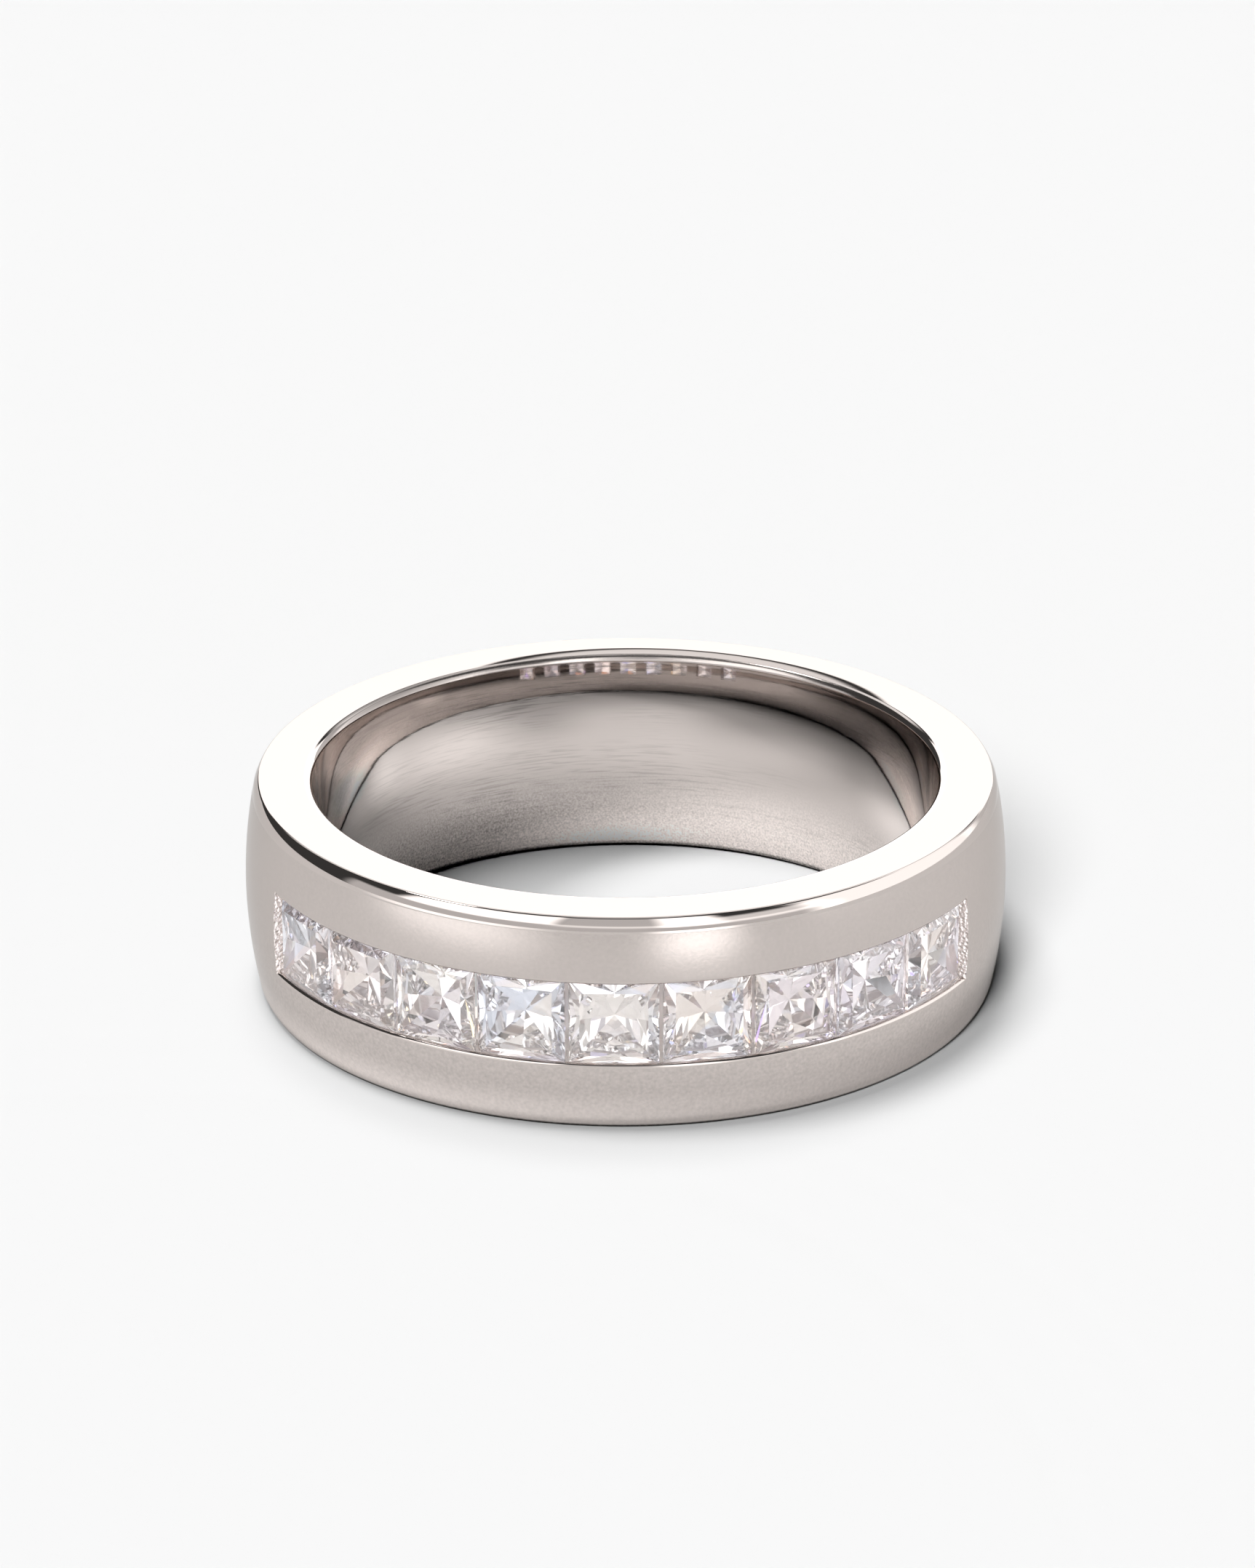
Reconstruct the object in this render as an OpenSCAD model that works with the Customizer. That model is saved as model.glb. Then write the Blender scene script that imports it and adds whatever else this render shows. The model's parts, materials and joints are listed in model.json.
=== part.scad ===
// A plain domed band ring with a channel of square princess-cut stones along its front.
// It lies on its side: its axis is Z, its lower flat edge rests at z = 0, and the stones face -Y.

/* [Finger] */
// Inner diameter at the middle of the bore
bore_d = 19.9; // [18:0.1:22]
// Height of the straight middle stretch of the bore
bore_straight = 3.2; // [2.6:0.1:3.6]
// Radius of the comfort-fit curve above and below that stretch
comfort_r = 13.2; // [11:0.1:20]
// Radius of the rounding from the bore to the flat edges
inner_edge_r = 0.25; // [0.2:0.05:0.4]

/* [Band] */
// Width of the band, which is its height as it lies
band_w = 7; // [6.4:0.1:8]
// Thickness of the metal from the bore to the top of the dome
wall = 2.32; // [2.25:0.01:2.8]
// Radius of the dome across the band
dome_r = 15.3; // [13:0.1:25]
// Radial width of the bevel between the dome and each flat edge
bevel_w = 0.2; // [0.1:0.05:0.3]
// Height of that bevel
bevel_h = 0.47; // [0.3:0.01:0.6]

/* [Channel] */
// Height of the channel's mouth between its lips
mouth_h = 2.64; // [2.56:0.02:2.66]
// How far the channel's middle lies above the band's middle
channel_lift = 0.12; // [0:0.02:0.2]
// Radius of the lips' rounding
lip_r = 0.12; // [0.05:0.01:0.15]
// Thickness of the lips over the edges of the stones
lip_t = 0.2; // [0.18:0.01:0.2]
// Depth of the seat's edge below the top of the dome
seat_depth = 0.745; // [0.745:0.005:0.8]
// Height of the trough below the seat's edge
trough_h = 2.4; // [2.3:0.05:2.45]
// Thickness of the wall between the bore and the trough
floor_t = 0.73; // [0.6:0.01:0.75]
// Angle round the ring from the last stone to each end of the channel
end_angle = 0.8; // [0.3:0.1:3]
// Width of the window behind each stone
window_w = 1.45; // [1.2:0.05:1.6]
// Height of the window behind each stone
window_h = 1.85; // [1.4:0.05:1.9]

/* [Stones] */
// Number of stones in the channel
stone_count = 9; // [5:1:9]
// Side of each square stone
stone_w = 2.75; // [2.5:0.05:2.75]
// Gap between the edges of neighbouring stones
stone_gap = 0.127; // [0.08:0.001:0.2]
// Depth of the top of the stones' girdle below the top of the dome
girdle_depth = 0.34; // [0.34:0.005:0.35]
// Thickness of the girdle
girdle_t = 0.08; // [0.05:0.01:0.1]
// Height of the crown above the girdle
crown_h = 0.25; // [0.2:0.01:0.28]
// Depth of the pavilion below the girdle
pavilion_h = 1.45; // [1.4:0.01:1.5]
// Side of the table as a share of the stone's side
table_share = 0.76; // [0.65:0.01:0.78]

/* [Hidden] */

// Enough segments to show round surfaces as round
$fn = 180;
// How far a cutting shape runs past the metal
over = 1;
// How far shapes of one section reach into each other
overlap = 0.25;
// Free space between the stones and the groove that holds them
fit_gap = 0.03;

bore_r = bore_d / 2;
outer_r = bore_r + wall;
mid_z = band_w / 2;
channel_z = mid_z + channel_lift;

// The rounding of the bore's edge touches the comfort-fit curve from inside
edge_z = mid_z - inner_edge_r;
edge_rise = edge_z - bore_straight / 2;
edge_angle = asin(edge_rise / (comfort_r - inner_edge_r));
edge_x = bore_r + comfort_r - (comfort_r - inner_edge_r) * cos(edge_angle);
touch_z = bore_straight / 2 + comfort_r * sin(edge_angle);

// The dome meets the bevel at this height over the band's middle, and at this radius
dome_edge_z = mid_z - bevel_h;
dome_edge_x = outer_r - dome_r + sqrt(pow(dome_r, 2) - pow(dome_edge_z, 2));

// The stones stand side by side round the ring, each turned by the angle that its width takes up
girdle_r = outer_r - girdle_depth;
stone_pitch = 2 * atan((stone_w + stone_gap) / 2 / girdle_r);
channel_half = stone_count * stone_pitch / 2 + end_angle;
groove_h = stone_w + 2 * fit_gap;
mouth_r = outer_r - dome_r + sqrt(pow(dome_r, 2) - pow(mouth_h / 2 + channel_lift, 2));

// Pavilion steps of a princess cut, from the girdle's edge inwards: each row gives the distance
// from the stone's axis as a share of the half side, and the depth as a share of the pavilion's
STEP_OUT = 0;
STEP_DEPTH = 1;
PAVILION_STEPS = [
    [0.80, 0.32],
    [0.50, 0.60],
];

// Upper half of the bore's side of the section: the straight wall, the comfort-fit curve and the round edge.
// Each shape reaches into the next, so that no thin slit is left between them.
module bore_side_half() {
    translate([bore_r, -overlap])
        square([wall / 2, bore_straight / 2 + overlap]);
    intersection() {
        translate([bore_r + comfort_r, bore_straight / 2])
            circle(comfort_r);
        translate([bore_r - overlap, 0])
            square([overlap + wall / 2, touch_z]);
    }
    translate([edge_x, edge_z])
        circle(inner_edge_r);
}

// Section of the band, centred on its middle height
module band_section() {
    intersection() {
        union() {
            bore_side_half();
            mirror([0, 1])
                bore_side_half();
            translate([edge_x, -mid_z])
                square([outer_r - edge_x, band_w]);
        }
        translate([outer_r - dome_r, 0])
            circle(dome_r);
        polygon([
            [0, -mid_z],
            [dome_edge_x - bevel_w, -mid_z],
            [dome_edge_x, -dome_edge_z],
            [outer_r + over, -dome_edge_z],
            [outer_r + over, dome_edge_z],
            [dome_edge_x, dome_edge_z],
            [dome_edge_x - bevel_w, mid_z],
            [0, mid_z],
        ]);
    }
}

// What is cut away at one lip so that its corner is left round
module lip_corner() {
    difference() {
        translate([mouth_r - lip_r, mouth_h / 2 - overlap])
            square([over, lip_r + overlap]);
        translate([mouth_r - lip_r, mouth_h / 2 + lip_r])
            circle(lip_r);
    }
}

// Section of the channel: a mouth with round lips, a groove for the girdles, and a trough below the seat
module channel_section() {
    translate([outer_r - wall + floor_t, -trough_h / 2])
        square([wall, trough_h]);
    translate([outer_r - seat_depth, -groove_h / 2])
        square([seat_depth - lip_t, groove_h]);
    translate([outer_r - lip_t - overlap, -mouth_h / 2])
        square([over, mouth_h]);
    lip_corner();
    mirror([0, 1])
        lip_corner();
}

// Turns what stands on the +X side to the place of stone number i, counted from the -X end
module at_stone(i) {
    turn = (i - (stone_count + 1) / 2) * stone_pitch;
    rotate([0, 0, turn - 90])
        translate([0, 0, channel_z])
            children();
}

module window() {
    translate([bore_r - over, -window_w / 2, -window_h / 2])
        cube([floor_t + 2 * over, window_w, window_h]);
}

// The metal: a comfort-fit band, with the channel cut along its front and a window behind each stone
module band() {
    color("gainsboro")
        difference() {
            translate([0, 0, mid_z])
                rotate_extrude()
                    band_section();
            translate([0, 0, channel_z])
                rotate([0, 0, -90 - channel_half])
                    rotate_extrude(angle = 2 * channel_half)
                        channel_section();
            for (i = [1:stone_count])
                at_stone(i)
                    window();
        }
}

// A point of one side of the stone: its distance out from the stone's axis, along the side, and up
function side_point(side, out, along, up) =
    [out * cos(side * 90) - along * sin(side * 90), out * sin(side * 90) + along * cos(side * 90), up];

// A princess-cut stone with the top of its girdle at height 0 and its table towards +Z
module princess_cut() {
    half = stone_w / 2;
    table_half = half * table_share;
    steps = len(PAVILION_STEPS);
    // Each side gives its corner and middle on the upper and lower girdle, its table corner and its steps
    per_side = 5 + steps;
    culet = 4 * per_side;
    points = [
        for (side = [0:3]) each [
            side_point(side, half, -half, 0),
            side_point(side, half, 0, 0),
            side_point(side, half, -half, -girdle_t),
            side_point(side, half, 0, -girdle_t),
            side_point(side, table_half, -table_half, crown_h),
            for (step = PAVILION_STEPS)
                side_point(side, half * step[STEP_OUT], 0, -girdle_t - pavilion_h * step[STEP_DEPTH]),
        ],
        [0, 0, -girdle_t - pavilion_h],
    ];
    faces = [
        [for (side = [3:-1:0]) side * per_side + 4],
        for (side = [0:3])
            let (
                a = side * per_side,
                b = ((side + 1) % 4) * per_side,
                column = [a + 3, for (k = [0:steps - 1]) a + 5 + k, culet]
            ) each [
                // Crown: a triangle on the table's side between two on the girdle
                [a + 4, b + 4, a + 1],
                [a + 4, a + 1, a],
                [b + 4, b, a + 1],
                // Girdle
                [a, a + 1, a + 3, a + 2],
                [a + 1, b, b + 2, a + 3],
                // Pavilion: chevrons, each a pair of facets that meet along the side's middle
                for (k = [0:steps]) each [
                    [a + 2, column[k], column[k + 1]],
                    [b + 2, column[k + 1], column[k]],
                ],
            ],
    ];
    polyhedron(points, faces, convexity = 2);
}

// Stone number i, with its table facing out of the channel
module stone(i) {
    color("azure", 0.6)
        at_stone(i)
            translate([girdle_r, 0, 0])
                rotate([90, 0, 90])
                    princess_cut();
}

band();
for (i = [1:stone_count])
    stone(i);
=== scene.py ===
"""Looks of a channel-set cubic zirconia band ring, built around its solid model.

The ring lies on its lower flat edge, with its axis along Z and its middle stone towards -Y.
Sizes are in millimetres and angles in degrees, and each mesh is made in metres.
"""

import json
import math

import bpy
from mathutils import Euler, Matrix, Vector

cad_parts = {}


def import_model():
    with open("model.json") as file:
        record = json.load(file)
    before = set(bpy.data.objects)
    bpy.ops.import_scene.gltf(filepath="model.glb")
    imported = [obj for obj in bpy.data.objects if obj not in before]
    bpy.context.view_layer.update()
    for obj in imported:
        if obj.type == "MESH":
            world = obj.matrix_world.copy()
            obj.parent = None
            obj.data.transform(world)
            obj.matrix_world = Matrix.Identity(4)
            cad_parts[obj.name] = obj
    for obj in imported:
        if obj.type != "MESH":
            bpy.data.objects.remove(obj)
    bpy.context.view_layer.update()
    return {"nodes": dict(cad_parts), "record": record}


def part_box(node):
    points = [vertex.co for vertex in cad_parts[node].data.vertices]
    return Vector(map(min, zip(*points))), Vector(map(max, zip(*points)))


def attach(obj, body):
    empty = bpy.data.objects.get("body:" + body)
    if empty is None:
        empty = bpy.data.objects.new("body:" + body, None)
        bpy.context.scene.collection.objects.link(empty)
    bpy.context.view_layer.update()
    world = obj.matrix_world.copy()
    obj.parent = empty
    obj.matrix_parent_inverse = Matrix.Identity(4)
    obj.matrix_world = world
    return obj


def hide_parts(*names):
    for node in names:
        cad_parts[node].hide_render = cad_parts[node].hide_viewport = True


MM = 0.001

# Section of the band. The bevel is slightly round, and so is its edge with the flat.
COMFORT_R = 13.2
INNER_EDGE_R = 0.25
DOME_R = 15.3
BEVEL_W = 0.2
BEVEL_H = 0.47
BEVEL_R = 0.95
BEVEL_EDGE_R = 0.1
# How far the polish leans the flat edges towards the bore, over which width, where it leans them most, and
# how fast that fades round the ring
ROLL_LEAN = 16
ROLL_W = 0.6
ROLL_ANGLE = 165
ROLL_POWER = 5

# Stones and the windows behind them
STONE_COUNT = 9
STONE_W = 2.75
STONE_GAP = 0.127
GIRDLE_DEPTH = 0.34
WINDOW_W = 1.45
WINDOW_H = 1.85

# Section of the channel, the stones' free space in its groove, and the angle that it runs on past them
CHANNEL_LIFT = 0.12
MOUTH_H = 2.64
LIP_R = 0.12
LIP_T = 0.2
FIT_GAP = 0.03
GROOVE_H = STONE_W + 2 * FIT_GAP
SEAT_DEPTH = 0.745
TROUGH_H = 2.4
FLOOR_T = 0.73
END_ANGLE = 0.8

# Looks of the band's surfaces, in the order of its materials
POLISHED, DOME, BORE, SEAT, END = range(5)

# Steps of the band's mesh: angle of a column, and columns across a window, between two and past the last
COLUMN_ANGLE = 0.8
WINDOW_COLUMNS = 10
BAR_COLUMNS = 6
END_COLUMNS = 4
# Steps of the section: flat edge, bevel, bore's curves, windows, dome beside the channel, dome at the back
# where the channel would be, and lips
FLAT_STEPS = 12
BEVEL_STEPS = 8
CURVE_STEPS = 12
WINDOW_STEPS = 6
DOME_STEPS = 10
MIDDLE_STEPS = 12
LIP_STEPS = 8
# Points closer than this are one
SLACK = 0.001

# Camera, fitted to the edges of the ring in the photograph of this many pixels
PHOTO_W = 1725
PHOTO_H = 2156
FOCAL_PIXELS = 7270
CAMERA_DISTANCE = 171.3
CAMERA_ELEVATION = 23.48
CAMERA_AZIMUTH = 1.8
CAMERA_ROLL = 0.251
RING_PIXEL_X = 860
RING_PIXEL_Y = 1194.5
SENSOR = 36
CAMERA_NEAR = 10

# How often light may bounce in the stones and the polish
BOUNCES = 24

# Floor, and the disc of it inside the ring, which ends under the band
FLOOR_SIZE = 6000
FLOOR_CORNERS = 4
FLOOR_DROP = 0.005
DISC_R = 11
DISC_CORNERS = 90
DISC_DROP = 0.003
FLOOR_COLOUR = (0.86, 0.86, 0.86)

# Colours
METAL_COLOUR = (0.585, 0.53, 0.503)
EDGE_TINT = (0.75, 0.74, 0.73)
SEAT_COLOUR = (0.87, 0.82, 0.79)
# Painted glow of the seat, which stands in for the light that the stones pass on
SEAT_PAINTED_GLOW = 0.1
# The ends' light colour, which their painted glow also has, and the strength of that painted glow
END_COLOUR = (0.98, 0.92, 0.9)
END_PAINTED_GLOW = 0.12
STONE_IOR = 2.17
STONE_ROUGHNESS = 0.02
STONE_TINTS = [
    (0.0, (0.84, 0.80, 0.80)),
    (0.3, (0.87, 0.77, 0.74)),
    (0.5, (0.76, 0.79, 0.88)),
    (0.7, (0.86, 0.79, 0.72)),
    (0.85, (0.82, 0.76, 0.84)),
]

# Roughness of the band's surfaces
POLISHED_ROUGHNESS = 0.04
DOME_ROUGHNESS = 0.22
BORE_ROUGHNESS = 0.03
BORE_LOW_ROUGHNESS = 0.3
BORE_RIM_ROUGHNESS = 0.2
SEAT_ROUGHNESS = 0.4
END_ROUGHNESS = 0.2

# Satin grain of the dome: spots a millimetre, depth, and share of the shade by height
DOME_GRAIN = 9
DOME_GRAIN_DEPTH = 0.002
DOME_GRAIN_SHARE = {"low": 1.5, "high": 4.5, "at_low": 0.5, "at_high": 0.15}
# Painted light of the dome by height, lighter towards the floor, and the painted shadow line along the floor
DOME_PAINTED_LIGHT = {"low": 0.1, "high": 1.5, "at_low": 1.52, "at_high": 0.97}
DOME_PAINTED_SHADOW = {"low": 0.06, "high": 0.16, "at_low": -1.5, "at_high": 0}

# Bore by height: its grainy, painted lighter lower part, its duller rim at the back, and the painted shadow
# line along the floor
BORE_LOW = {"low": 0.4, "high": 3.2, "at_low": 1, "at_high": 0}
BORE_RIM = {"low": 6.7, "high": 6.9, "at_low": 0, "at_high": 1}
BORE_PAINTED_SHADOW = {"low": 0.12, "high": 0.26, "at_low": -0.95, "at_high": 0}
# The rim turns dull between these angles from the front, in radians
RIM_START = 2.0
RIM_FULL = 2.6
# Brush marks of the bore and the wide patches that have them: scale round the ring and along its axis
MARKS = (0.7, 14)
MARKED_PATCHES = (0.12, 0.5)
# Values of the noise between which a mark and a patch come up, and how much the marks darken and cut
MARK_STEP = (0.45, 0.7)
PATCH_STEP = (0.42, 0.62)
MARK_SHADE = 0.2
MARK_DEPTH_SHARE = 0.3
# Radius at which the angle round the ring is turned into a length
ROUND_R = 12
# Grain of the bore: spots a millimetre, contrast, offset and depth. The offset leaves the grain lighter on
# average: painted light
BORE_GRAIN = 15
BORE_GRAIN_GAIN = 1.4
BORE_GRAIN_LIGHT_OFFSET = -0.5
BORE_RELIEF = 0.0015
# Graver's cuts at the channel's ends: cuts a millimetre, and depth
END_CUTS = 9
END_CUT_DEPTH = 0.08

# Soft patches of painted light and shade on the bore: angle round the ring from the front, height, half
# sizes and extra shade
# Extra shade above zero is painted light, below zero painted shade; the last row darkens the rim's
# reflection
BORE_PAINTED_PATCHES = [
    {"angle": 116, "height": 4.2, "half_angle": 18, "half_height": 2.6, "shade": 0.8},
    {"angle": -111, "height": 4.6, "half_angle": 23, "half_height": 2.0, "shade": 1.1},
    {"angle": 172, "height": 3.8, "half_angle": 42, "half_height": 1.6, "shade": 0.15},
    {"angle": -143, "height": 4.4, "half_angle": 23, "half_height": 1.5, "shade": 0.4},
    {"angle": 145, "height": 5.4, "half_angle": 30, "half_height": 1.2, "shade": -0.35},
    {"angle": 175, "height": 5.8, "half_angle": 30, "half_height": 0.9, "shade": -0.25},
    {"angle": -160, "height": 5.6, "half_angle": 40, "half_height": 1.0, "shade": -0.5},
    {"angle": -125, "height": 3.0, "half_angle": 30, "half_height": 1.4, "shade": -0.15},
    {"angle": -132, "height": 1.0, "half_angle": 40, "half_height": 3.0, "shade": -0.4},
    {"angle": -165, "height": 1.7, "half_angle": 38, "half_height": 1.9, "shade": -0.32},
    {"angle": -174, "height": 0.35, "half_angle": 30, "half_height": 1.3, "shade": 0.8},
    {"angle": -160, "height": 4.7, "half_angle": 16, "half_height": 0.8, "shade": -0.25},
    {"angle": 147, "height": 4.1, "half_angle": 20, "half_height": 1.0, "shade": 0.28},
    {"angle": 153, "height": 1.2, "half_angle": 38, "half_height": 1.9, "shade": 0.35},
    {"angle": -128, "height": 6.95, "half_angle": 38, "half_height": 0.35, "shade": -0.65},
]


def polar(angle):
    """Unit vector of the section at this angle from the outward direction."""
    return Vector((math.cos(math.radians(angle)), math.sin(math.radians(angle))))


def left_of(direction):
    """Normal on the left of a direction in the section, which is where the air is."""
    return Vector((-direction.y, direction.x)).normalized()


def line_run(start, end, steps=1):
    """Points and normals along a straight stretch of the section."""
    start, end = Vector(start), Vector(end)
    normal = left_of(end - start)
    return [(start.lerp(end, i / steps), normal) for i in range(steps + 1)]


def arc_run(centre, radius, first, last, steps, hollow=False):
    """Points and normals along an arc of the section, from one angle to another."""
    centre = Vector(centre)
    run = []
    for i in range(steps + 1):
        out = polar(first + (last - first) * i / steps)
        run.append((centre + out * radius, -out if hollow else out))
    return run


def spread(first, last, steps):
    """Columns from one column up to another, without the last one."""
    return [
        tuple(a + (b - a) * i / steps for a, b in zip(first, last))
        for i in range(steps)
    ]


def mirrored(runs):
    """Runs of the upper half turned into those of the lower half, which are passed the other way."""
    flip = Vector((1, -1))
    return [
        (look, [(point * flip, normal * flip) for point, normal in reversed(run)])
        for look, run in reversed(runs)
    ]


class Section:
    """The band's section about its middle height, in the order in which the air lies on the left."""

    def __init__(self, bore_r, bore_straight, outer_r, band_w):
        self.bore_r = bore_r
        self.straight = bore_straight / 2
        self.outer_r = outer_r
        self.mid = band_w / 2
        self.dome_x = outer_r - DOME_R
        self.dome_edge_z = self.mid - BEVEL_H
        self.dome_edge_angle = math.degrees(math.asin(self.dome_edge_z / DOME_R))
        self.dome_edge_x = self.dome_x + DOME_R * math.cos(math.radians(self.dome_edge_angle))
        rise = self.mid - INNER_EDGE_R - self.straight
        self.edge_angle = math.degrees(math.asin(rise / (COMFORT_R - INNER_EDGE_R)))
        reach = (COMFORT_R - INNER_EDGE_R) * math.cos(math.radians(self.edge_angle))
        self.edge_x = bore_r + COMFORT_R - reach
        self.trough_r = bore_r + FLOOR_T
        self.window_z = (CHANNEL_LIFT - WINDOW_H / 2, CHANNEL_LIFT + WINDOW_H / 2)

    def lip_angle(self, side):
        """Angle on the dome at which the rounding of the upper (1) or lower (-1) lip begins."""
        height = CHANNEL_LIFT + side * (MOUTH_H / 2 + LIP_R)
        return math.degrees(math.asin(height / (DOME_R - LIP_R)))

    def roll(self, point):
        """Share of the polish's lean at a point of a flat edge or of the rounding below it."""
        below = self.mid - abs(point.y)
        if below > INNER_EDGE_R or point.x > self.edge_x + ROLL_W:
            return 0
        if point.x > self.edge_x:
            return (self.edge_x + ROLL_W - point.x) / ROLL_W
        return 1 - below / INNER_EDGE_R

    def edge_runs(self, bevel_look):
        """Upper flat edge and bevel, from the bore's rounded edge to the dome."""
        chord = Vector((-BEVEL_W, BEVEL_H))
        lean = math.degrees(math.atan2(BEVEL_W, BEVEL_H))
        half_turn = math.degrees(math.asin(chord.length / 2 / BEVEL_R))
        centre = Vector((self.dome_edge_x, self.dome_edge_z)) - polar(lean - half_turn) * BEVEL_R
        height = self.mid - BEVEL_EDGE_R - centre.y
        touch = math.degrees(math.asin(height / (BEVEL_R - BEVEL_EDGE_R)))
        rounding = centre + polar(touch) * (BEVEL_R - BEVEL_EDGE_R)
        return [
            (POLISHED, line_run((self.edge_x, self.mid), (rounding.x, self.mid), FLAT_STEPS)),
            (bevel_look, arc_run(rounding, BEVEL_EDGE_R, 90, touch, BEVEL_STEPS)),
            (bevel_look, arc_run(centre, BEVEL_R, touch, lean - half_turn, BEVEL_STEPS)),
        ]

    def comfort_runs(self):
        """Upper comfort-fit curve of the bore and its rounded edge."""
        turn = 180 - self.edge_angle
        curve_centre = (self.bore_r + COMFORT_R, self.straight)
        edge_centre = (self.edge_x, self.mid - INNER_EDGE_R)
        return [
            (BORE, arc_run(curve_centre, COMFORT_R, 180, turn, CURVE_STEPS)),
            (BORE, arc_run(edge_centre, INNER_EDGE_R, turn, 90, CURVE_STEPS)),
        ]

    def straight_run(self):
        """Straight middle of the bore, with points at the windows' edges."""
        low, high = self.window_z
        run = line_run((self.bore_r, -self.straight), (self.bore_r, low))
        run += line_run((self.bore_r, low), (self.bore_r, high), WINDOW_STEPS)[1:]
        run += line_run((self.bore_r, high), (self.bore_r, self.straight))[1:]
        return [(BORE, run)]

    def dome_run(self, first, last, steps):
        """A stretch of the dome, from one angle to another."""
        return [(DOME, arc_run((self.dome_x, 0), DOME_R, first, last, steps))]

    def shell_runs(self):
        """All of the section but the stretch of the dome where the channel is.

        The upper bevel is polished, and the lower one has the dome's grain, its painted light and its
        painted shadow line.
        """
        edge = self.edge_runs(POLISHED)
        comfort = self.comfort_runs()
        lower = self.dome_run(self.lip_angle(-1), -self.dome_edge_angle, DOME_STEPS)
        upper = self.dome_run(self.dome_edge_angle, self.lip_angle(1), DOME_STEPS)
        bottom = mirrored(self.edge_runs(DOME)) + mirrored(comfort)
        return lower + bottom + self.straight_run() + comfort + edge + upper

    def middle_runs(self):
        """The stretch of the dome that the channel takes away."""
        return self.dome_run(self.lip_angle(1), self.lip_angle(-1), MIDDLE_STEPS)

    def lip_run(self, side):
        """Rounding of one lip, from the dome into the mouth or back."""
        angle = self.lip_angle(side)
        centre = Vector((self.dome_x, 0)) + polar(angle) * (DOME_R - LIP_R)
        if side > 0:
            return arc_run(centre, LIP_R, angle, -90, LIP_STEPS)
        return arc_run(centre, LIP_R, 90, angle, LIP_STEPS)

    def channel_runs(self):
        """The channel's section: lips, groove, seat and trough, from the top down."""
        groove_top = self.outer_r - LIP_T
        groove_floor = self.outer_r - SEAT_DEPTH
        mouth, groove, trough = MOUTH_H / 2, GROOVE_H / 2, TROUGH_H / 2
        low, high = self.window_z
        upper_lip, lower_lip = self.lip_run(1), self.lip_run(-1)
        steps = [
            (upper_lip[-1][0].x, mouth),
            (groove_top, mouth),
            (groove_top, groove),
            (groove_floor, groove),
            (groove_floor, trough),
            (self.trough_r, trough),
        ]
        down = [Vector((r, CHANNEL_LIFT + z)) for r, z in steps]
        up = [Vector((r, CHANNEL_LIFT - z)) for r, z in reversed(steps)]
        up[-1].x = lower_lip[0][0].x
        floor = [Vector((self.trough_r, high)), Vector((self.trough_r, low))]
        path = down + floor + up
        inside = [line_run(a, b) for a, b in zip(path, path[1:])]
        return [(POLISHED, upper_lip)] + [(SEAT, run) for run in inside] + [(POLISHED, lower_lip)]


class Shell:
    """Collects faces with a normal at each corner, and joins the corners that meet."""

    def __init__(self):
        self.points = []
        self.index = {}
        self.faces = []
        self.normals = []
        self.looks = []

    def corner(self, place):
        """Number of the corner at a place in millimetres."""
        key = tuple(round(value, 5) for value in place)
        if key not in self.index:
            self.index[key] = len(self.points)
            self.points.append(place * MM)
        return self.index[key]

    def face(self, places, normals, look):
        """Adds a face, turned so that its front is on the side of its normals."""
        across = (places[2] - places[0]).cross(places[-1] - places[1])
        if across.dot(sum(normals, Vector())) < 0:
            places = places[::-1]
            normals = normals[::-1]
        self.faces.append([self.corner(place) for place in places])
        self.normals.extend(normals)
        self.looks.append(look)

    def build(self, name, materials):
        """Makes the object, with its corner normals kept as given."""
        mesh = bpy.data.meshes.new(name)
        mesh.from_pydata(self.points, [], self.faces)
        for material in materials:
            mesh.materials.append(material)
        mesh.polygons.foreach_set("material_index", self.looks)
        mesh.polygons.foreach_set("use_smooth", [True] * len(self.faces))
        mesh.update()
        mesh.normals_split_custom_set([tuple(normal) for normal in self.normals])
        piece = bpy.data.objects.new(name, mesh)
        bpy.context.collection.objects.link(piece)
        return piece


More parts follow.
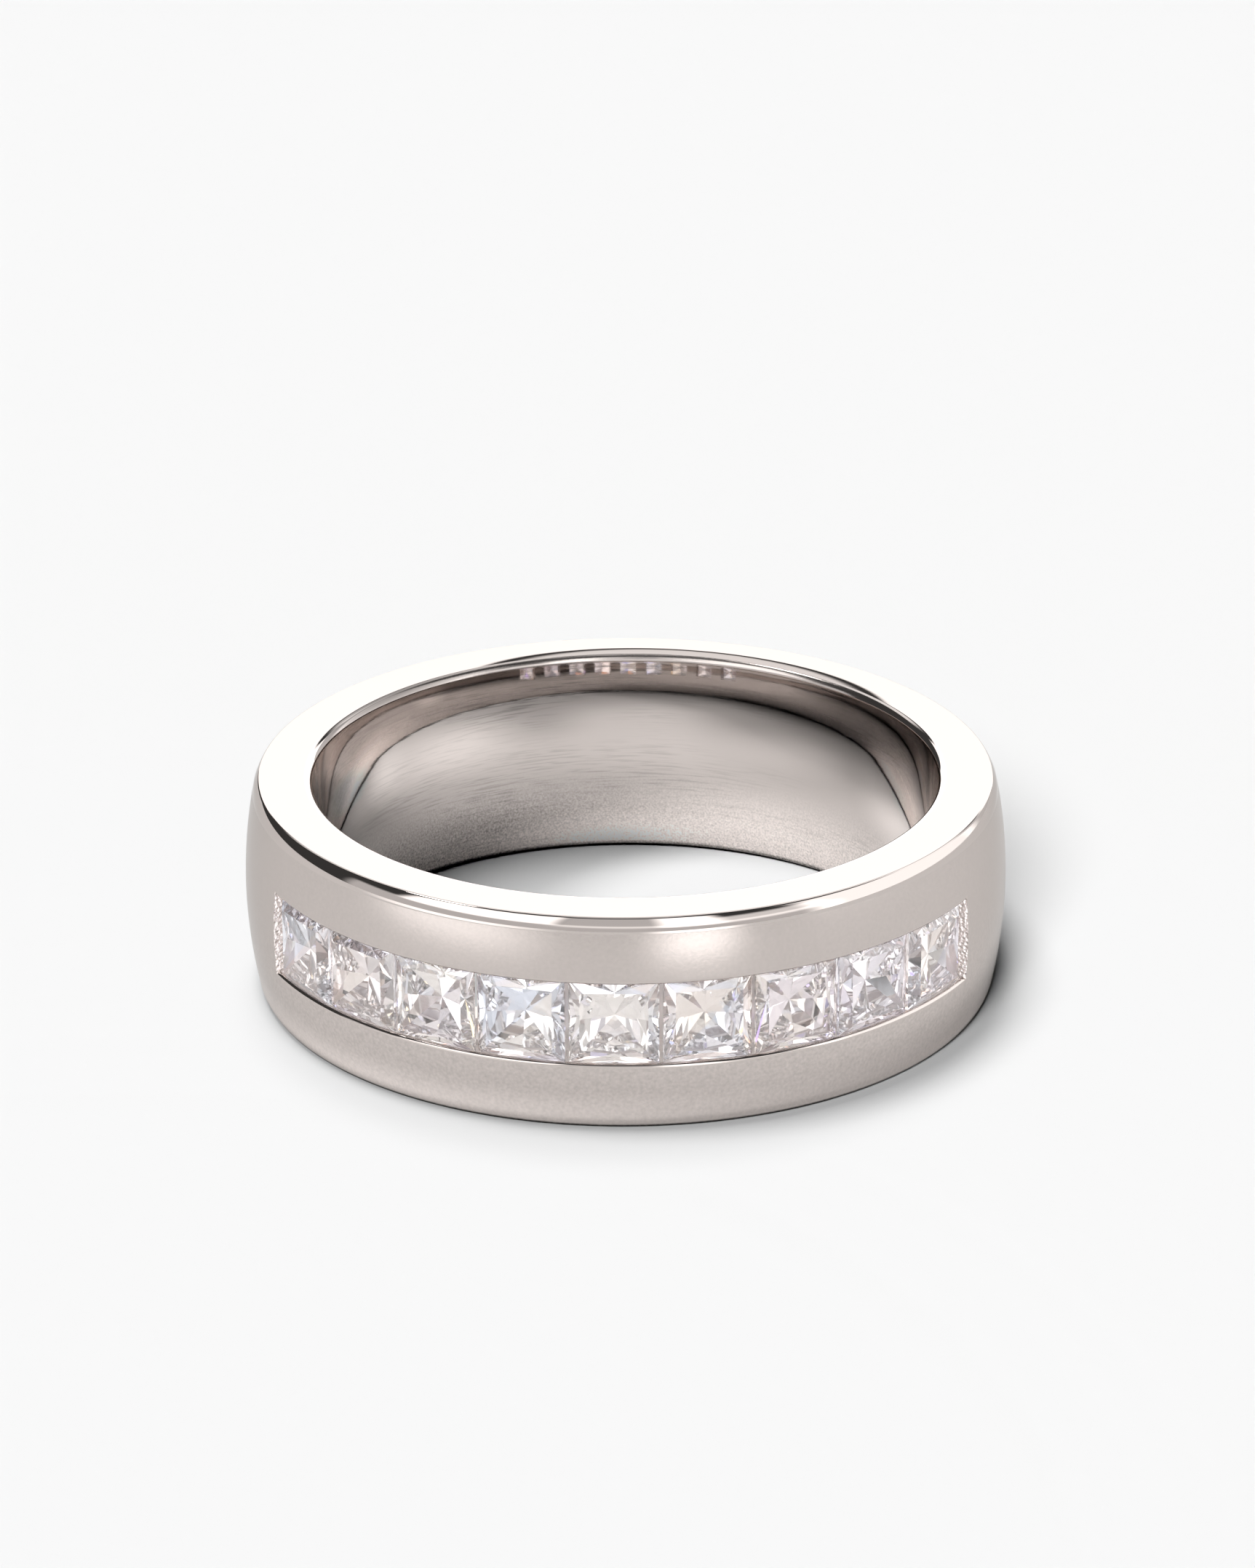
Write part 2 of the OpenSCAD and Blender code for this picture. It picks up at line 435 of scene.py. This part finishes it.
class Band:
    """The ring's metal: its section turned round the axis, in columns that follow the windows."""

    def __init__(self, section):
        self.section = section
        self.shell = Shell()
        girdle_r = section.outer_r - GIRDLE_DEPTH
        self.pitch = 2 * math.degrees(math.atan((STONE_W + STONE_GAP) / 2 / girdle_r))
        self.channel_half = STONE_COUNT * self.pitch / 2 + END_ANGLE
        self.stone_angles = [(i - (STONE_COUNT - 1) / 2) * self.pitch for i in range(STONE_COUNT)]
        self.half_in = math.degrees(math.asin(WINDOW_W / 2 / section.bore_r))
        self.half_out = math.degrees(math.asin(WINDOW_W / 2 / section.trough_r))

    def channel_columns(self):
        """Columns along the channel, and for each the number of the window to its right or None."""
        end = (self.channel_half, self.channel_half)
        at = (-self.channel_half, -self.channel_half)
        columns, windows = [], []
        steps = END_COLUMNS
        for number, angle in enumerate(self.stone_angles):
            left = (angle - self.half_in, angle - self.half_out)
            right = (angle + self.half_in, angle + self.half_out)
            columns += spread(at, left, steps)
            windows += [None] * steps
            columns += spread(left, right, WINDOW_COLUMNS)
            windows += [number] * WINDOW_COLUMNS
            at = right
            steps = BAR_COLUMNS
        columns += spread(at, end, END_COLUMNS) + [end]
        windows += [None] * END_COLUMNS
        return columns, windows

    def back_columns(self):
        """Columns round the plain stretch of the band, from one end of the channel to the other."""
        start, end = self.channel_half, 360 - self.channel_half
        steps = round((end - start) / COLUMN_ANGLE)
        return spread((start, start), (end, end), steps) + [(-start, -start)]

    def angle_at(self, column, r):
        """Angle of a column at a radius, which differs from bore to trough beside a window."""
        share = (r - self.section.bore_r) / (self.section.trough_r - self.section.bore_r)
        share = min(max(share, 0), 1)
        return math.radians(column[0] + (column[1] - column[0]) * share)

    def place(self, column, point):
        """Where a point of the section lies once it is turned to a column."""
        angle = self.angle_at(column, point.x)
        return Vector((point.x * math.sin(angle), -point.x * math.cos(angle), point.y + self.section.mid))

    def facing(self, column, point, normal):
        """Normal at a place, with the polish's lean."""
        angle = self.angle_at(column, point.x)
        behind = max(math.cos(angle - math.radians(ROLL_ANGLE)), 0)
        lean = ROLL_LEAN * self.section.roll(point) * behind ** ROLL_POWER
        upright = math.degrees(math.atan2(normal.y, normal.x))
        normal = polar(upright + math.copysign(lean, normal.y))
        return Vector((normal.x * math.sin(angle), -normal.x * math.cos(angle), normal.y))

    def quad(self, columns, ends, look):
        """One face between two columns and two points of the section."""
        (left, right), (first, last) = columns, ends
        corners = [(left, first), (right, first), (right, last), (left, last)]
        places = [self.place(column, point) for column, (point, normal) in corners]
        normals = [self.facing(column, point, normal) for column, (point, normal) in corners]
        self.shell.face(places, normals, look)

    def opens(self, ends):
        """Whether a stretch of the bore or of the trough's floor lies in a window."""
        section = self.section
        low, high = section.window_z
        (a, _), (b, _) = ends
        upright = abs(a.x - b.x) < SLACK
        on_wall = min(abs(a.x - section.bore_r), abs(a.x - section.trough_r)) < SLACK
        within = all(low - SLACK < p.y < high + SLACK for p in (a, b))
        return upright and on_wall and within

    def turn(self, runs, columns, windows=None):
        """Turns runs of the section through the columns, and leaves the windows open."""
        for i, pair in enumerate(zip(columns, columns[1:])):
            window = windows and windows[i] is not None
            for look, run in runs:
                for ends in zip(run, run[1:]):
                    if not (window and self.opens(ends)):
                        self.quad(pair, ends, look)

    def window_walls(self, columns, windows):
        """The four walls of each window, between the bore and the trough."""
        section = self.section
        low, high = section.window_z
        for number, angle in enumerate(self.stone_angles):
            first = windows.index(number)
            inside = columns[first:first + WINDOW_COLUMNS + 1]
            across = Vector((math.cos(math.radians(angle)), math.sin(math.radians(angle)), 0))
            for column, normal in ((inside[0], across), (inside[-1], -across)):
                heights = [p.y for p, _ in line_run((0, low), (0, high), WINDOW_STEPS)]
                for bottom, top in zip(heights, heights[1:]):
                    rim = [(section.bore_r, bottom), (section.trough_r, bottom)]
                    rim += [(section.trough_r, top), (section.bore_r, top)]
                    places = [self.place(column, Vector(point)) for point in rim]
                    self.shell.face(places, [normal] * 4, POLISHED)
            for height, up in ((low, 1), (high, -1)):
                ends = [(Vector((r, height)), Vector((0, up))) for r in (section.bore_r, section.trough_r)]
                for pair in zip(inside, inside[1:]):
                    self.quad(pair, ends, POLISHED)

    def end_walls(self):
        """The two flat ends of the channel."""
        outline = [point for point, _ in self.section.middle_runs()[0][1]]
        for _, run in reversed(self.section.channel_runs()):
            outline += [point for point, _ in reversed(run)][1:]
        outline.pop()
        for side in (-1, 1):
            column = (side * self.channel_half, side * self.channel_half)
            angle = math.radians(column[0])
            normal = -side * Vector((math.cos(angle), math.sin(angle), 0))
            places = [self.place(column, point) for point in outline]
            self.shell.face(places, [normal] * len(places), END)

    def build(self, materials):
        """Joins the plain shell, the channel, its ends and the windows in one mesh."""
        columns, windows = self.channel_columns()
        self.turn(self.section.shell_runs(), columns, windows)
        self.turn(self.section.channel_runs(), columns, windows)
        self.turn(self.section.shell_runs(), self.back_columns())
        self.turn(self.section.middle_runs(), self.back_columns())
        self.window_walls(columns, windows)
        self.end_walls()
        return self.shell.build("band_metal", materials)


class Graph:
    """A node tree with short calls to add to it."""

    def __init__(self, tree):
        self.tree = tree
        tree.nodes.clear()

    def add(self, kind, inputs=None, **settings):
        """A new node with its settings, and its inputs set or linked."""
        node = self.tree.nodes.new(kind)
        for name, value in settings.items():
            setattr(node, name, value)
        for key, value in (inputs or {}).items():
            self.give(node.inputs[key], value)
        return node

    def give(self, socket, value):
        """Sets a socket to a value or links an output to it."""
        if isinstance(value, bpy.types.NodeSocket):
            self.tree.links.new(value, socket)
        else:
            socket.default_value = value

    def math(self, operation, *values):
        """Result of a calculation."""
        node = self.add("ShaderNodeMath", dict(enumerate(values)), operation=operation)
        return node.outputs[0]

    def noise(self, place, scale, detail):
        """Value of a cloudy noise."""
        node = self.add("ShaderNodeTexNoise", {"Vector": place, "Scale": scale, "Detail": detail})
        return node.outputs[0]

    def ramp(self, value, low, high, at_low, at_high):
        """Smooth step from one value to another as the input goes from low to high."""
        node = self.add("ShaderNodeMapRange", interpolation_type="SMOOTHSTEP")
        for key, given in enumerate((value, low, high, at_low, at_high)):
            self.give(node.inputs[key], given)
        return node.outputs[0]

    def by_height(self, height, change):
        """Smooth step between two heights in millimetres."""
        low, high = change["low"] * MM, change["high"] * MM
        return self.ramp(height, low, high, change["at_low"], change["at_high"])

    def sum(self, *values):
        """Sum of two values or more."""
        total = values[0]
        for value in values[1:]:
            total = self.math("ADD", total, value)
        return total


def new_material(name):
    """A material with a Principled shader, and its graph."""
    material = bpy.data.materials.new(name)
    material.use_nodes = True
    graph = Graph(material.node_tree)
    shader = graph.add("ShaderNodeBsdfPrincipled")
    graph.add("ShaderNodeOutputMaterial", {"Surface": shader.outputs[0]})
    return material, graph, shader


def metal(name, roughness, colour=METAL_COLOUR):
    """A white metal, and its graph and shader for more detail."""
    material, graph, shader = new_material(name)
    shader.inputs["Base Color"].default_value = (*colour, 1)
    shader.inputs["Metallic"].default_value = 1
    shader.inputs["Specular Tint"].default_value = (*EDGE_TINT, 1)
    shader.inputs["Roughness"].default_value = roughness
    return material, graph, shader


def ring_coordinates(graph, round_scale, height_scale):
    """Coordinates that run round the ring and along its axis, in millimetres times the scales."""
    place = graph.add("ShaderNodeTexCoord").outputs["Object"]
    parts = graph.add("ShaderNodeSeparateXYZ", {0: place})
    angle = graph.math("ARCTAN2", parts.outputs[0], parts.outputs[1])
    away = graph.add("ShaderNodeVectorMath", {0: place}, operation="LENGTH").outputs["Value"]
    along = graph.math("MULTIPLY", angle, ROUND_R * round_scale)
    height = graph.math("MULTIPLY", parts.outputs[2], height_scale / MM)
    depth = graph.math("MULTIPLY", away, height_scale / MM)
    return graph.add("ShaderNodeCombineXYZ", {0: along, 1: height, 2: depth}).outputs[0]


def add_bump(graph, shader, height, depth):
    """Fine relief of this depth."""
    bump = graph.add("ShaderNodeBump", {"Height": height, "Distance": depth * MM})
    graph.give(shader.inputs["Normal"], bump.outputs[0])


def shade_metal(graph, shader, shade):
    """Gives the metal its colour times a shade."""
    tone = graph.add("ShaderNodeVectorMath", {0: METAL_COLOUR}, operation="SCALE")
    graph.give(tone.inputs["Scale"], shade)
    graph.give(shader.inputs["Base Color"], tone.outputs[0])


def polished_metal():
    """Mirror polish of the flat edges, the upper bevel, the lips and the windows."""
    return metal("polished_metal", POLISHED_ROUGHNESS)[0]


def dome_metal():
    """The dome's fine satin grain, stronger towards the floor, with painted light that makes it lighter
    there and a painted shadow line along the floor.
    """
    material, graph, shader = metal("dome_metal", DOME_ROUGHNESS)
    place = graph.add("ShaderNodeTexCoord").outputs["Object"]
    height = graph.add("ShaderNodeSeparateXYZ", {0: place}).outputs[2]
    grain = graph.noise(place, DOME_GRAIN / MM, 3.0)
    share = graph.by_height(height, DOME_GRAIN_SHARE)
    speckled = graph.math("MULTIPLY", graph.math("SUBTRACT", grain, 0.5), share)
    # Painted light that makes the dome lighter towards the floor, and a painted shadow line along the floor
    shade = graph.by_height(height, DOME_PAINTED_LIGHT)
    painted_contact_shadow = graph.by_height(height, DOME_PAINTED_SHADOW)
    shade_metal(graph, shader, graph.sum(shade, speckled, painted_contact_shadow))
    add_bump(graph, shader, grain, DOME_GRAIN_DEPTH)
    return material


def brush_shade(graph, marks):
    """Shade left by the brush marks, which come in wide patches."""
    where = graph.noise(ring_coordinates(graph, *MARKED_PATCHES), 1.0, 1.0)
    marked = graph.math(
        "MULTIPLY",
        graph.ramp(marks, *MARK_STEP, 0.0, MARK_SHADE),
        graph.ramp(where, *PATCH_STEP, 0.0, 1.0),
    )
    return graph.math("SUBTRACT", 1.0, marked)


def dull_rim(graph, height, angle):
    """Share of the duller polish, which the back of the bore's upper rim has."""
    behind = graph.ramp(graph.math("ABSOLUTE", angle), RIM_START, RIM_FULL, 0.0, 1.0)
    return graph.math("MULTIPLY", graph.by_height(height, BORE_RIM), behind)


def bore_metal():
    """The bore's polish: short brush marks that run round it, soft patches of painted light and shade, a
    grainy lower part that is painted lighter, and a painted shadow line along the floor.
    """
    material, graph, shader = metal("bore_metal", BORE_ROUGHNESS)
    shader.inputs["Specular Tint"].default_value = (1, 1, 1, 1)
    place = graph.add("ShaderNodeTexCoord").outputs["Object"]
    parts = graph.add("ShaderNodeSeparateXYZ", {0: place}).outputs
    height = parts[2]
    angle = graph.math("ARCTAN2", parts[0], graph.math("MULTIPLY", parts[1], -1.0))
    low = graph.by_height(height, BORE_LOW)
    rim = dull_rim(graph, height, angle)
    marks = graph.noise(ring_coordinates(graph, *MARKS), 1.0, 4.0)
    grain = graph.noise(place, BORE_GRAIN / MM, 1.0)
    # The grain's offset lightens the lower bore on average: painted light
    speckled = graph.math("MULTIPLY_ADD", grain, BORE_GRAIN_GAIN, BORE_GRAIN_LIGHT_OFFSET)
    speckled = graph.math("MULTIPLY", speckled, low)
    # Painted shadow line along the floor
    painted_contact_shadow = graph.by_height(height, BORE_PAINTED_SHADOW)
    # Soft patches of painted light and shade
    painted_patches = [painted_patch(graph, angle, height, patch) for patch in BORE_PAINTED_PATCHES]
    shade_metal(graph, shader, graph.sum(brush_shade(graph, marks), speckled, painted_contact_shadow, *painted_patches))
    rough = graph.math("MULTIPLY_ADD", low, BORE_LOW_ROUGHNESS, BORE_ROUGHNESS)
    rough = graph.math("MULTIPLY_ADD", rim, BORE_RIM_ROUGHNESS, rough)
    graph.give(shader.inputs["Roughness"], rough)
    grained = graph.math("MULTIPLY", grain, graph.math("ADD", low, rim))
    brushed = graph.math("MULTIPLY", marks, MARK_DEPTH_SHARE)
    add_bump(graph, shader, graph.math("ADD", brushed, grained), BORE_RELIEF)
    return material


def painted_patch(graph, angle, height, patch):
    """Painted light (above zero) and painted shade (below zero) of one soft patch of the bore, from its
    middle to its rim.
    """
    off_angle = graph.math("SUBTRACT", angle, math.radians(patch["angle"]))
    off_angle = graph.math("WRAP", off_angle, math.pi, -math.pi)
    off_height = graph.math("SUBTRACT", height, patch["height"] * MM)
    across = graph.math("DIVIDE", off_angle, math.radians(patch["half_angle"]))
    upright = graph.math("DIVIDE", off_height, patch["half_height"] * MM)
    squares = [graph.math("POWER", part, 2.0) for part in (across, upright)]
    away = graph.math("SQRT", graph.math("ADD", *squares))
    return graph.ramp(away, 0.0, 1.0, patch["shade"], 0.0)


def seat_metal():
    """Unpolished metal inside the channel, with a painted glow that stands in for the light that the stones
    pass on to it.
    """
    material, _, shader = metal("seat_metal", SEAT_ROUGHNESS, SEAT_COLOUR)
    shader.inputs["Emission Color"].default_value = (1, 1, 1, 1)
    shader.inputs["Emission Strength"].default_value = SEAT_PAINTED_GLOW
    return material


def end_metal():
    """The channel's ends, left by a graver with many small bright cuts, and lit up by a faint painted glow.
    """
    material, graph, shader = metal("end_metal", END_ROUGHNESS, END_COLOUR)
    shader.inputs["Emission Color"].default_value = (*END_COLOUR, 1)
    shader.inputs["Emission Strength"].default_value = END_PAINTED_GLOW
    place = graph.add("ShaderNodeTexCoord").outputs["Object"]
    cuts = graph.add("ShaderNodeTexVoronoi", {"Vector": place, "Scale": END_CUTS / MM})
    add_bump(graph, shader, cuts.outputs["Distance"], END_CUT_DEPTH)
    return material


def zirconia():
    """Clear stone, with a faint tint that differs from facet to facet."""
    material, graph, shader = new_material("zirconia")
    facing = graph.add("ShaderNodeNewGeometry").outputs["True Normal"]
    draw = graph.add("ShaderNodeTexWhiteNoise", {"Vector": facing}, noise_dimensions="3D").outputs["Value"]
    tints = graph.add("ShaderNodeValToRGB", {0: draw})
    tints.color_ramp.interpolation = "CONSTANT"
    stops = tints.color_ramp.elements
    stops.remove(stops[-1])
    for number, (position, tint) in enumerate(STONE_TINTS):
        stop = stops.new(position) if number else stops[0]
        stop.color = (*tint, 1)
    graph.give(shader.inputs["Base Color"], tints.outputs[0])
    shader.inputs["Roughness"].default_value = STONE_ROUGHNESS
    shader.inputs["IOR"].default_value = STONE_IOR
    shader.inputs["Transmission Weight"].default_value = 1
    return material


def floor_material():
    """Matt white floor."""
    material, _, shader = new_material("floor")
    shader.inputs["Base Color"].default_value = (*FLOOR_COLOUR, 1)
    shader.inputs["Roughness"].default_value = 1
    shader.inputs["Specular IOR Level"].default_value = 0
    return material


def build_floor(name, corners, reach, drop, material):
    """A flat round or square piece of floor, with this many corners at this distance from the axis."""
    mesh = bpy.data.meshes.new(name)
    turns = [math.radians(360 * (i + 0.5) / corners) for i in range(corners)]
    rim = [Vector((math.cos(turn) * reach, math.sin(turn) * reach, -drop)) * MM for turn in turns]
    mesh.from_pydata(rim, [], [range(corners)])
    mesh.materials.append(material)
    floor = bpy.data.objects.new(name, mesh)
    bpy.context.collection.objects.link(floor)
    return floor


# Soft lights around the ring as its polish shows them:
# azimuth from the front, elevation, half width, half height, width of the soft edge, and radiance
PANELS = [
    {"azimuth": 178, "elevation": 8, "half_w": 26, "half_h": 18.5, "edge": 1, "radiance": 2.0},
    {"azimuth": 178, "elevation": 51, "half_w": 40, "half_h": 19, "edge": 3, "radiance": 1.2},
    {"azimuth": 0, "elevation": 90, "half_w": 200, "half_h": 10, "edge": 3, "radiance": 0.8},
    {"azimuth": 140, "elevation": 22, "half_w": 14, "half_h": 26, "edge": 4, "radiance": 0.8},
    {"azimuth": -10, "elevation": 8, "half_w": 78, "half_h": 12, "edge": 3, "radiance": 0.7},
    {"azimuth": -45, "elevation": 35, "half_w": 25, "half_h": 17, "edge": 3, "radiance": 2.0},
    {"azimuth": -3, "elevation": 32, "half_w": 17, "half_h": 18, "edge": 4, "radiance": 0.7},
    {"azimuth": 22, "elevation": 32, "half_w": 9, "half_h": 18, "edge": 4, "radiance": 2.4},
    {"azimuth": 48, "elevation": 24, "half_w": 17, "half_h": 10, "edge": 4, "radiance": 1.0},
    {"azimuth": 95, "elevation": 22, "half_w": 35, "half_h": 26, "edge": 6, "radiance": 1.7},
]
# Radiance between the panels, the least that is seen through a stone, and that of the backdrop
AMBIENT = 0.06
AMBIENT_IN_STONES = 0.4
BACKDROP = 0.947

# Kinds of surface that a lamp lights
MATT = ("diffuse",)
SHINY = ("glossy", "transmission")
CLEAR = ("transmission",)

# Round distant lamps: azimuth, elevation, angle across, strength, and which kinds of surface show them
LAMPS = [
    {"name": "left", "azimuth": -95, "elevation": 80, "across": 20, "strength": 1.65, "shows": MATT},
    {"name": "front", "azimuth": -12, "elevation": 36, "across": 20, "strength": 2.41, "shows": MATT},
    {"name": "back", "azimuth": -175, "elevation": 72, "across": 16, "strength": 0.44, "shows": MATT},
    {"name": "key", "azimuth": -115, "elevation": 62, "across": 12, "strength": 0.3, "shows": SHINY},
    {"name": "ceiling", "azimuth": 0, "elevation": 90, "across": 64, "strength": 0.7, "shows": CLEAR},
]

# Lamps of the floor inside the ring, which the ring's wall keeps off its left side
INNER_LAMPS = [
    {"name": "inside_low", "azimuth": -84, "elevation": 46, "across": 14, "strength": 1.9, "shows": MATT},
    {"name": "inside_high", "azimuth": -84, "elevation": 74, "across": 36, "strength": 2.1, "shows": MATT},
]

# Low soft lights that stand on the floor near the ring, and that its dome shows
SOFTBOXES = [
    {"name": "softbox_right", "azimuth": 20, "distance": 52, "width": 29, "height": 7.5, "radiance": 1.75},
    {"name": "softbox_left", "azimuth": -45, "distance": 52, "width": 66, "height": 7.5, "radiance": 1.1},
]

# A softbox fades from these shares of its width and height off its middle towards its edge
FADE_ACROSS = 0.1
FADE_UP = 0.3

# Small coloured lights that only the stones show, as their fire: azimuth, elevation and colour
FIRE = [
    (-60, 50, (1.6, 1.2, 0.35)),
    (20, 62, (1.5, 0.6, 0.2)),
    (-20, 40, (0.35, 0.45, 1.5)),
    (60, 48, (0.7, 0.45, 1.5)),
    (150, 60, (1.6, 1.2, 0.3)),
    (-140, 50, (0.3, 0.6, 1.5)),
    (100, 20, (1.5, 0.8, 0.3)),
]
FIRE_ACROSS = 14


def soft_light(graph, direction, elevation, light):
    """Radiance of one soft light as seen along a direction."""
    turn = graph.add("ShaderNodeVectorRotate", {"Vector": direction}, rotation_type="Z_AXIS")
    turn.inputs["Angle"].default_value = math.radians(-light["azimuth"])
    parts = graph.add("ShaderNodeSeparateXYZ", {0: turn.outputs[0]})
    azimuth = graph.math("ARCTAN2", parts.outputs[0], graph.math("MULTIPLY", parts.outputs[1], -1.0))
    off_side = graph.math("ABSOLUTE", azimuth)
    off_height = graph.math("ABSOLUTE", graph.math("SUBTRACT", elevation, math.radians(light["elevation"])))
    masks = []
    for value, half in ((off_side, light["half_w"]), (off_height, light["half_h"])):
        low = math.radians(half - light["edge"])
        high = math.radians(half + light["edge"])
        masks.append(graph.ramp(value, low, high, 1.0, 0.0))
    return graph.math("MULTIPLY", graph.math("MULTIPLY", *masks), light["radiance"])


def build_lamp(lamp):
    """A distant round lamp, seen from the ring at its azimuth and elevation."""
    data = bpy.data.lights.new(lamp["name"], "SUN")
    data.energy = lamp["strength"]
    data.color = lamp.get("colour", (1, 1, 1))
    data.angle = math.radians(lamp["across"])
    sun = bpy.data.objects.new(lamp["name"], data)
    tilt = math.radians(90 - lamp["elevation"])
    sun.rotation_euler = (tilt, 0, math.radians(lamp["azimuth"]))
    for kind in ("diffuse", "glossy", "transmission"):
        setattr(sun, "visible_" + kind, kind in lamp["shows"])
    bpy.context.collection.objects.link(sun)
    return sun


def share_light(sun, piece, state):
    """Lets a lamp light only this piece (INCLUDE) or all but this piece (EXCLUDE)."""
    group = bpy.data.collections.new(sun.name + "_lights")
    group.objects.link(piece)
    group.collection_objects[0].light_linking.link_state = state
    sun.light_linking.receiver_collection = group


def build_softbox(light):
    """A low soft light whose glow fades towards its sides and its top, which only the ring shows."""
    data = bpy.data.lights.new(light["name"], "AREA")
    data.shape = "RECTANGLE"
    data.size = light["width"] * MM
    data.size_y = light["height"] * MM
    data.energy = light["radiance"] * math.pi * data.size * data.size_y
    data.use_nodes = True
    graph = Graph(data.node_tree)
    parts = graph.add("ShaderNodeSeparateXYZ", {0: graph.add("ShaderNodeNewGeometry").outputs["Parametric"]})
    off_middle = [graph.math("ABSOLUTE", graph.math("SUBTRACT", part, 0.5)) for part in parts.outputs[:2]]
    across = graph.ramp(off_middle[0], FADE_ACROSS, 0.5, 1.0, 0.0)
    upright = graph.ramp(off_middle[1], FADE_UP, 0.5, 1.0, 0.0)
    shine = graph.add("ShaderNodeEmission", {"Strength": graph.math("MULTIPLY", across, upright)})
    graph.add("ShaderNodeOutputLight", {0: shine.outputs[0]})
    softbox = bpy.data.objects.new(light["name"], data)
    turn = Matrix.Rotation(math.radians(light["azimuth"]), 4, "Z")
    place = Matrix.Translation(Vector((0, -light["distance"], light["height"] / 2)) * MM)
    softbox.matrix_world = turn @ place @ Matrix.Rotation(math.pi / 2, 4, "X")
    softbox.visible_camera = False
    softbox.visible_diffuse = False
    bpy.context.collection.objects.link(softbox)


def build_fire():
    """Small coloured lamps, as bright as their colours."""
    strength = math.pi * math.sin(math.radians(FIRE_ACROSS / 2)) ** 2
    for number, (azimuth, elevation, colour) in enumerate(FIRE):
        build_lamp({
            "name": f"fire_{number + 1}",
            "azimuth": azimuth,
            "elevation": elevation,
            "across": FIRE_ACROSS,
            "strength": strength,
            "colour": colour,
            "shows": CLEAR,
        })


def build_world():
    """Soft lights around and above the ring, and a plain backdrop for the camera."""
    world = bpy.data.worlds.new("studio")
    bpy.context.scene.world = world
    world.use_nodes = True
    graph = Graph(world.node_tree)
    direction = graph.add("ShaderNodeTexCoord").outputs["Generated"]
    parts = graph.add("ShaderNodeSeparateXYZ", {0: direction})
    elevation = graph.math("ARCSINE", parts.outputs[2])
    total = graph.sum(AMBIENT, *[soft_light(graph, direction, elevation, light) for light in PANELS])
    path = graph.add("ShaderNodeLightPath")
    in_stones = graph.math("MULTIPLY", path.outputs["Is Transmission Ray"], AMBIENT_IN_STONES)
    mix = graph.add("ShaderNodeMix", data_type="FLOAT")
    graph.give(mix.inputs["Factor"], path.outputs["Is Camera Ray"])
    graph.give(mix.inputs["A"], graph.math("MAXIMUM", total, in_stones))
    graph.give(mix.inputs["B"], BACKDROP)
    background = graph.add("ShaderNodeBackground", {"Strength": mix.outputs["Result"]})
    background.inputs["Color"].default_value = (1, 1, 1, 1)
    graph.add("ShaderNodeOutputWorld", {"Surface": background.outputs[0]})
    world.cycles_visibility.diffuse = False


def build_lamps(disc):
    """All lamps, of which some light only the disc of floor inside the ring and the others all but it."""
    for lamp in LAMPS:
        share_light(build_lamp(lamp), disc, "EXCLUDE")
    for lamp in INNER_LAMPS:
        share_light(build_lamp(lamp), disc, "INCLUDE")
    for light in SOFTBOXES:
        build_softbox(light)
    build_fire()


def build_camera(centre):
    """Camera at the photograph's angle, aimed so that the ring's centre falls on its pixel."""
    azimuth = math.radians(CAMERA_AZIMUTH)
    elevation = math.radians(CAMERA_ELEVATION)
    flat = math.cos(elevation)
    away = Vector((math.sin(azimuth) * flat, -math.cos(azimuth) * flat, math.sin(elevation)))
    data = bpy.data.cameras.new("camera")
    data.sensor_width = SENSOR
    data.lens = SENSOR * FOCAL_PIXELS / PHOTO_H
    data.clip_start = CAMERA_NEAR * MM
    data.dof.use_dof = False
    camera = bpy.data.objects.new("camera", data)
    bpy.context.collection.objects.link(camera)
    pan = math.atan((RING_PIXEL_X - PHOTO_W / 2) / FOCAL_PIXELS)
    tilt = math.atan((RING_PIXEL_Y - PHOTO_H / 2) / FOCAL_PIXELS)
    aim = Matrix.Rotation(azimuth, 3, "Z") @ Matrix.Rotation(math.pi / 2 - elevation, 3, "X")
    trim = Euler((tilt, pan, -math.radians(CAMERA_ROLL))).to_matrix()
    camera.matrix_world = Matrix.Translation(centre + away * CAMERA_DISTANCE * MM) @ (aim @ trim).to_4x4()
    bpy.context.scene.camera = camera


def build_band(frame):
    """The ring's metal, which takes the place of the plain solid and keeps its size."""
    bore = next(m for m in frame["record"]["mounts"] if m["name"] == "finger_bore")
    low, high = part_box("band")
    section = Section(bore["dims"]["r_mm"], bore["dims"]["length_mm"], high.x / MM, (high.z - low.z) / MM)
    looks = [polished_metal(), dome_metal(), bore_metal(), seat_metal(), end_metal()]
    band = Band(section).build(looks)
    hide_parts("band")
    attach(band, "root")


def dress_stones(frame):
    """The stones are the solids themselves, in clear glass."""
    glass = zirconia()
    for name, node in frame["nodes"].items():
        if name.startswith("stone"):
            node.data.materials.clear()
            node.data.materials.append(glass)


def set_light_paths():
    """Plain colours, and enough bounces of light for the stones and the polish."""
    scene = bpy.context.scene
    scene.view_settings.view_transform = "Standard"
    scene.cycles.max_bounces = BOUNCES
    scene.cycles.glossy_bounces = BOUNCES
    scene.cycles.transmission_bounces = BOUNCES
    scene.cycles.caustics_reflective = False
    scene.cycles.caustics_refractive = False


def main():
    """Builds the camera, the band, the stones' looks, the floor and the lights."""
    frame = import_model()
    low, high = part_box("band")
    build_camera(Vector((0, 0, (low.z + high.z) / 2)))
    build_band(frame)
    dress_stones(frame)
    pale = floor_material()
    build_floor("floor", FLOOR_CORNERS, FLOOR_SIZE / math.sqrt(2), FLOOR_DROP, pale)
    disc = build_floor("floor_inside", DISC_CORNERS, DISC_R, DISC_DROP, pale)
    build_world()
    build_lamps(disc)
    set_light_paths()


main()
